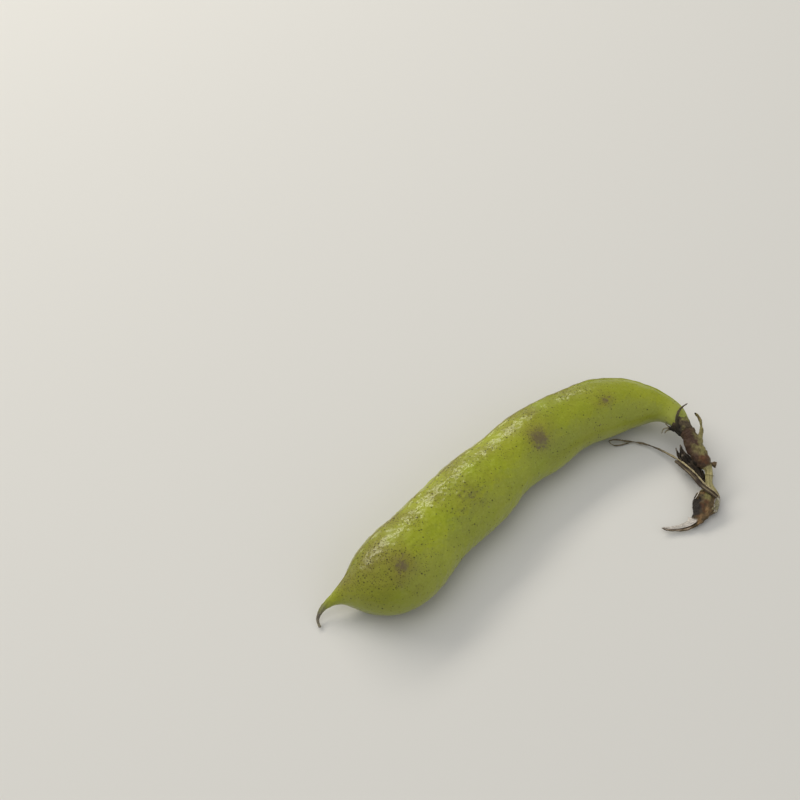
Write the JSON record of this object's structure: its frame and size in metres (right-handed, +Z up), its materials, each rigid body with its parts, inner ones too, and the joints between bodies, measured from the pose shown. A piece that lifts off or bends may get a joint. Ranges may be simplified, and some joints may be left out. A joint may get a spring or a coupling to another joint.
{
  "type": "broad bean pod",
  "caption": "Fresh broad bean pod as picked: a long bowed pod with a hooked dry beak, a withered calyx and a torn stalk, lying on its flat side.",
  "frame": {"origin": "middle of the underside of the part's bounding box, on the surface that the pod lies on", "axes": "+X along the pod from its beak to its stalk, +Y towards the pod's bowed back, +Z up"},
  "size_m": [0.1487, 0.0635, 0.021],
  "materials": {
    "pod_skin": "fresh lime-olive pod skin, leathery, with a waxy gloss, fine dark specks and a few brown smudges",
    "withered_calyx": "withered, papery, brown-purple with pale torn edges",
    "stalk_skin": "olive and red-brown stalk skin, satin, with a pale fibrous tear",
    "withered_petal": "crumpled dry petals, matt brown-black",
    "dry_straw": "dry fibrous strap, matt, grey-brown with a pale edge"
  },
  "bodies": {
    "root": {"pod": "pod_skin", "calyx": "withered_calyx", "stalk": "stalk_skin", "withered_flower": "withered_petal", "dried_stem_tip": "dry_straw"}
  },
  "joints": []
}
